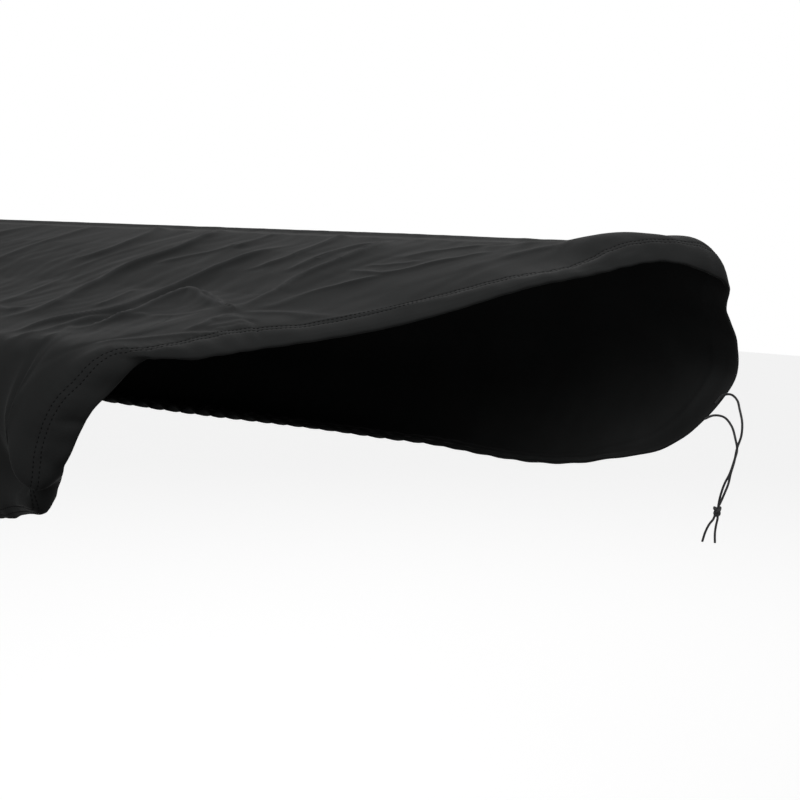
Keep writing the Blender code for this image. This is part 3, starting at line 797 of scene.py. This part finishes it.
# The outer face let in by the cloth's thickness, which is the casing's in the hem.
def letIn(outer, normals):
    inCasing = 1 - smooth(*cloth["thicken"], outer["edge"] - cloth["casing"])
    thick = cloth["thickness"] + (cloth["casingThickness"] - cloth["thickness"]) * inCasing
    return outer["points"] - normals * thick[:, None]


# The inner face: every second row and column of what is let in. Inside the oval it follows the face above it.
def innerFace(outer, let):
    rows = outer["rows"]
    columns = outer["columns"]
    keptRows = np.concatenate((np.arange(0, rows - 1, 2), [rows - 1]))
    keptColumns = np.arange(0, columns, 2)
    grid = let[(keptRows[:, None] * columns + keptColumns[None]).ravel()]
    ringIndex = np.arange(len(keptColumns)) + (len(keptRows) - 1) * len(keptColumns)
    ovalQuads, ovalEnds = ovalPatch(ringIndex, grid, cloth["ringRows"] // 2)[1:]
    above = outer["points"][rows * columns:].reshape(cloth["ringRows"], -1, 3)[1::2, 1::2]
    oval = above.reshape(-1, 3) - (0.0, 0.0, cloth["thickness"] + cloth["topGap"])
    quads = np.concatenate((gridQuads(len(keptRows), len(keptColumns)), ovalQuads))
    return np.concatenate((grid, oval)), quads[:, ::-1], ovalEnds[:, ::-1]


# The hem edge rolls over in two rows between the faces. The inner face has half as many columns.
def hemRoll(outer, let):
    columns = outer["columns"]
    outward = outer["outward"] / np.linalg.norm(outer["outward"], axis=1)[:, None] * cloth["hemRoll"]
    hemOuter = outer["points"][:columns]
    hemInner = let[:columns]
    share = cloth["rollShare"]
    nearOuter = hemOuter * (1 - share) + hemInner * share + outward
    nearInner = hemOuter * share + hemInner * (1 - share) + outward
    first = len(outer["points"])
    second = first + columns
    inner = second + columns
    column = np.arange(columns)
    after = (column + 1) % columns
    few = np.arange(columns // 2)
    fewAfter = (few + 1) % (columns // 2)
    faces = np.stack((after, column, first + column, first + after), axis=1).tolist()
    faces += np.stack((first + after, first + column, second + column, second + after), axis=1).tolist()
    odd = second + 2 * few + 1
    faces += np.stack((odd, odd - 1, inner + few), axis=1).tolist()
    faces += np.stack((second + (2 * few + 2) % columns, odd, inner + few, inner + fewAfter), axis=1).tolist()
    return np.concatenate((nearOuter, nearInner)), faces


knit = {
    "color": (0.018, 0.0185, 0.0185),
    "roughness": 0.8,
    "sheen": 0.065,
    "sheenRoughness": 0.3,
    "gloss": 0.04,
    "grain": {"scale": 1100.0, "detail": 3.0, "strength": 0.35, "depth": 0.0003},  # per metre, metres
    "wrinkle": {"stretch": (46.0, 5.0, 20.0), "turn": -12.0, "detail": 3.0, "strength": 0.8, "depth": 0.0014},
    "patch": {"scale": 26.0, "detail": 4.0, "from": 0.3, "to": 0.7},
    "dark": (0.0125, 0.013, 0.013),
    "light": (0.0155, 0.016, 0.016),
    "crestHighlight": (0.027, 0.0275, 0.028),  # painted highlight at sharp crests
}


def addNoise(tree, vector, scale, detail):
    noise = tree.nodes.new("ShaderNodeTexNoise")
    noise.inputs["Scale"].default_value = scale
    noise.inputs["Detail"].default_value = detail
    tree.links.new(vector, noise.inputs["Vector"])
    return noise


def addBump(tree, height, look):
    bump = tree.nodes.new("ShaderNodeBump")
    bump.inputs["Strength"].default_value = look["strength"]
    bump.inputs["Distance"].default_value = look["depth"]
    tree.links.new(height, bump.inputs["Height"])
    return bump


# Black knit: uneven in patches, with a painted highlight on sharp crests, and a fine grain over drawn-out
# wrinkles.
def coverFinish():
    made, shader = makeMaterial("blackKnit", knit["color"], knit["roughness"])
    shader.inputs["Sheen Weight"].default_value = knit["sheen"]
    shader.inputs["Sheen Roughness"].default_value = knit["sheenRoughness"]
    shader.inputs["Specular IOR Level"].default_value = knit["gloss"]
    tree = made.node_tree
    place = tree.nodes.new("ShaderNodeTexCoord").outputs["Object"]
    drawn = tree.nodes.new("ShaderNodeMapping")
    drawn.inputs["Rotation"].default_value = (0.0, 0.0, math.radians(knit["wrinkle"]["turn"]))
    drawn.inputs["Scale"].default_value = knit["wrinkle"]["stretch"]
    tree.links.new(place, drawn.inputs["Vector"])
    wrinkle = addNoise(tree, drawn.outputs["Vector"], 1.0, knit["wrinkle"]["detail"])
    wrinkle.noise_type = "RIDGED_MULTIFRACTAL"
    wrinkleBump = addBump(tree, wrinkle.outputs["Fac"], knit["wrinkle"])
    grain = addNoise(tree, place, knit["grain"]["scale"], knit["grain"]["detail"])
    bump = addBump(tree, grain.outputs["Fac"], knit["grain"])
    tree.links.new(wrinkleBump.outputs["Normal"], bump.inputs["Normal"])
    tree.links.new(bump.outputs["Normal"], shader.inputs["Normal"])
    patch = addNoise(tree, place, knit["patch"]["scale"], knit["patch"]["detail"])
    tone = tree.nodes.new("ShaderNodeValToRGB")
    tone.color_ramp.elements[0].position = knit["patch"]["from"]
    tone.color_ramp.elements[0].color = (*knit["dark"], 1.0)
    tone.color_ramp.elements[1].position = knit["patch"]["to"]
    tone.color_ramp.elements[1].color = (*knit["light"], 1.0)
    tree.links.new(patch.outputs["Fac"], tone.inputs["Fac"])
    # The crest attribute mixes a painted highlight into the colour along sharp crests.
    crest = tree.nodes.new("ShaderNodeAttribute")
    crest.attribute_name = "crest"
    crestHighlight = tree.nodes.new("ShaderNodeMixRGB")
    crestHighlight.inputs["Color2"].default_value = (*knit["crestHighlight"], 1.0)
    tree.links.new(crest.outputs["Fac"], crestHighlight.inputs["Fac"])
    tree.links.new(tone.outputs["Color"], crestHighlight.inputs["Color1"])
    tree.links.new(crestHighlight.outputs["Color"], shader.inputs["Base Color"])
    return made


# The outer face, the rolled hem edge and the inner face in one closed mesh.
def makeCover():
    outer = outerFace()
    normals = pointNormals(outer["points"], outer["quads"])
    let = letIn(outer, normals)
    rollPoints, rollFaces = hemRoll(outer, let)
    innerPoints, innerQuads, innerEnds = innerFace(outer, let)
    allPoints = np.concatenate((outer["points"], rollPoints, innerPoints))
    innerStart = len(outer["points"]) + len(rollPoints)
    faces = outer["quads"].tolist() + outer["ends"].tolist() + rollFaces
    faces += (innerQuads + innerStart).tolist() + (innerEnds + innerStart).tolist()
    made = meshPiece("coverPiece", toMetres(allPoints), faces, coverFinish())
    # The crest attribute holds where the painted highlight lies, on the outer face only.
    crest = made.data.attributes.new("crest", "FLOAT", "POINT")
    unmarked = np.zeros(len(allPoints) - len(outer["highlightMask"]))
    crest.data.foreach_set("value", np.concatenate((outer["highlightMask"], unmarked)))
    return made, outer, normals


coverPiece, outer, outerNormals = makeCover()
print("cover done", len(coverPiece.data.polygons))


# One line of the seam round the hem, at a distance from its edge, with the cloth's normal along it.
def seamLine(distance):
    columns = outer["columns"]
    grid = outer["points"][:outer["rows"] * columns].reshape(-1, columns, 3)
    facing = outerNormals[:outer["rows"] * columns].reshape(-1, columns, 3)
    rowsAt = outer["hemDistance"]
    row = np.searchsorted(rowsAt, distance) - 1
    share = (distance - rowsAt[row]) / (rowsAt[row + 1] - rowsAt[row])
    ring = grid[row] * (1 - share) + grid[row + 1] * share
    up = facing[row] * (1 - share) + facing[row + 1] * share
    finest = np.linspace(0, columns, stitching["trackPoints"], endpoint=False)
    low = np.floor(finest).astype(int)
    part = (finest - low)[:, None]
    nextLow = (low + 1) % columns
    return ring[low] * (1 - part) + ring[nextLow] * part, up[low] * (1 - part) + up[nextLow] * part


# A stitch's five rings: their places along its length, how far they sink or rise, their share of the radius
stitchRings = ((0.0, -0.35, 0.35), (0.18, 0.0, 0.9), (0.5, 0.12, 1.0), (0.82, 0.0, 0.9), (1.0, -0.35, 0.35))


# Stitches along a seam line: short bars of thread that lie on the cloth, their ends sunk into it.
def stitchBars(track, up):
    places, sink, fat = np.array(stitchRings).T
    run = lengths(track)
    starts = np.arange(0, run[-1] - stitching["pitch"], stitching["pitch"])
    along = starts[:, None] + places * stitching["length"]
    centre = np.stack([np.interp(along, run, track[:, axis]) for axis in range(3)], axis=-1)
    normal = np.stack([np.interp(along, run, up[:, axis]) for axis in range(3)], axis=-1)
    normal /= np.linalg.norm(normal, axis=2)[..., None]
    ahead = centre[:, -1:] - centre[:, :1]
    ahead /= np.linalg.norm(ahead, axis=2)[..., None]
    across = np.cross(ahead * np.ones((1, len(fat), 1)), normal)
    across /= np.linalg.norm(across, axis=2)[..., None]
    centre = centre + normal * (sink + stitching["lift"])[None, :, None]
    around = np.linspace(0, 2 * math.pi, stitching["sides"], endpoint=False)[None, None, :, None]
    ring = np.cos(around) * across[:, :, None] + np.sin(around) * normal[:, :, None]
    return centre[:, :, None] + fat[None, :, None, None] * stitching["radius"] * ring


# The sides and both end caps of bars, whose points are numbered on from first.
def barFaces(count, first):
    sides = stitching["sides"]
    rings = len(stitchRings)
    each = sides * rings
    bar, ring, side = np.meshgrid(np.arange(count), np.arange(rings - 1), np.arange(sides), indexing="ij")
    base = first + bar * each + ring * sides
    after = (side + 1) % sides
    quads = np.stack((base + side, base + after, base + sides + after, base + sides + side), axis=-1)
    start = first + np.arange(count)[:, None] * each
    startCaps = start + np.arange(sides - 1, -1, -1)
    endCaps = start + each - sides + np.arange(sides)
    return quads.reshape(-1, 4).tolist() + startCaps.tolist() + endCaps.tolist()


# Both rows of stitches, as one piece of thread.
def makeStitches():
    allPoints = []
    faces = []
    count = 0
    for line in (-0.5, 0.5):
        bars = stitchBars(*seamLine(cloth["casing"] + line * stitching["between"]))
        faces += barFaces(len(bars), count)
        allPoints.append(bars.reshape(-1, 3))
        count += len(allPoints[-1])
    finish, shader = makeMaterial("blackThread", stitching["color"], stitching["roughness"])
    shader.inputs["Specular IOR Level"].default_value = stitching["gloss"]
    return meshPiece("hemStitches", toMetres(np.concatenate(allPoints)), faces, finish)


hemStitches = makeStitches()
print("stitches done", len(hemStitches.data.polygons))

for piece, slotName in ((coverPiece, "black_knit"), (hemStitches, "black_cord")):
    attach(piece, "root")
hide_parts("cover")

# Studio, in metres and watts: soft lights behind on the left and in front, a small one at the right end
lights = {
    "backLeft": {"place": (-2.2, 3.0, 2.0), "aim": (0.1, 0.0, 0.0), "size": (2.0, 1.4), "power": 15.0},
    "front": {"place": (0.1, -2.4, 0.9), "aim": (0.1, 0.0, 0.0), "size": (1.6, 1.0), "power": 24.0},
    "end": {"place": (1.0, 0.0, 0.45), "aim": (0.45, 0.1, -0.05), "size": (0.5, 0.4), "power": 3.4},
}
# The room that lights the cloth: its glow from below and from above, and the slopes between which it changes
room = {"floorGlow": 0.14, "ceilingGlow": 0.59, "slopes": (-0.4, 0.3)}
floor = {"half": 9.0, "height": -1.1, "color": (0.93, 0.93, 0.93), "roughness": 0.9, "glow": 0.34}


def makeLights():
    for name, light in lights.items():
        data = bpy.data.lights.new(name, "AREA")
        data.shape = "RECTANGLE"
        data.size, data.size_y = light["size"]
        data.energy = light["power"]
        made = link(bpy.data.objects.new(name, data))
        place = np.array(light["place"])
        back = place - np.array(light["aim"])
        back /= np.linalg.norm(back)
        side = np.cross((0.0, 0.0, 1.0), back)
        side /= np.linalg.norm(side)
        made.matrix_world = turnAndPlace(side, np.cross(back, side), back, place)


# The world's glow grows with the slope of the ray, but the camera sees it white.
def makeRoom():
    world = bpy.data.worlds.new("room")
    world.use_nodes = True
    tree = world.node_tree
    way = tree.nodes.new("ShaderNodeTexCoord")
    split = tree.nodes.new("ShaderNodeSeparateXYZ")
    tree.links.new(way.outputs["Generated"], split.inputs["Vector"])
    fade = tree.nodes.new("ShaderNodeMapRange")
    fade.inputs["From Min"].default_value, fade.inputs["From Max"].default_value = room["slopes"]
    fade.inputs["To Min"].default_value = room["floorGlow"]
    fade.inputs["To Max"].default_value = room["ceilingGlow"]
    tree.links.new(split.outputs["Z"], fade.inputs["Value"])
    seen = tree.nodes.new("ShaderNodeLightPath")
    mixed = tree.nodes.new("ShaderNodeMath")
    mixed.operation = "MAXIMUM"
    tree.links.new(fade.outputs["Result"], mixed.inputs[0])
    tree.links.new(seen.outputs["Is Camera Ray"], mixed.inputs[1])
    tree.links.new(mixed.outputs["Value"], tree.nodes["Background"].inputs["Color"])
    bpy.context.scene.world = world


def makeFloor():
    finish, shader = makeMaterial("floorPaper", floor["color"], floor["roughness"])
    shader.inputs["Emission Color"].default_value = (1.0, 1.0, 1.0, 1.0)
    shader.inputs["Emission Strength"].default_value = floor["glow"]
    corners = np.array(((-1, -1, 0), (1, -1, 0), (1, 1, 0), (-1, 1, 0))) * floor["half"]
    corners = corners + (0, 0, floor["height"])
    paper = meshPiece("floor", corners, [(0, 1, 2, 3)], finish)
    paper.visible_diffuse = False
    paper.visible_glossy = False


makeLights()
makeRoom()
makeFloor()
print("studio done")
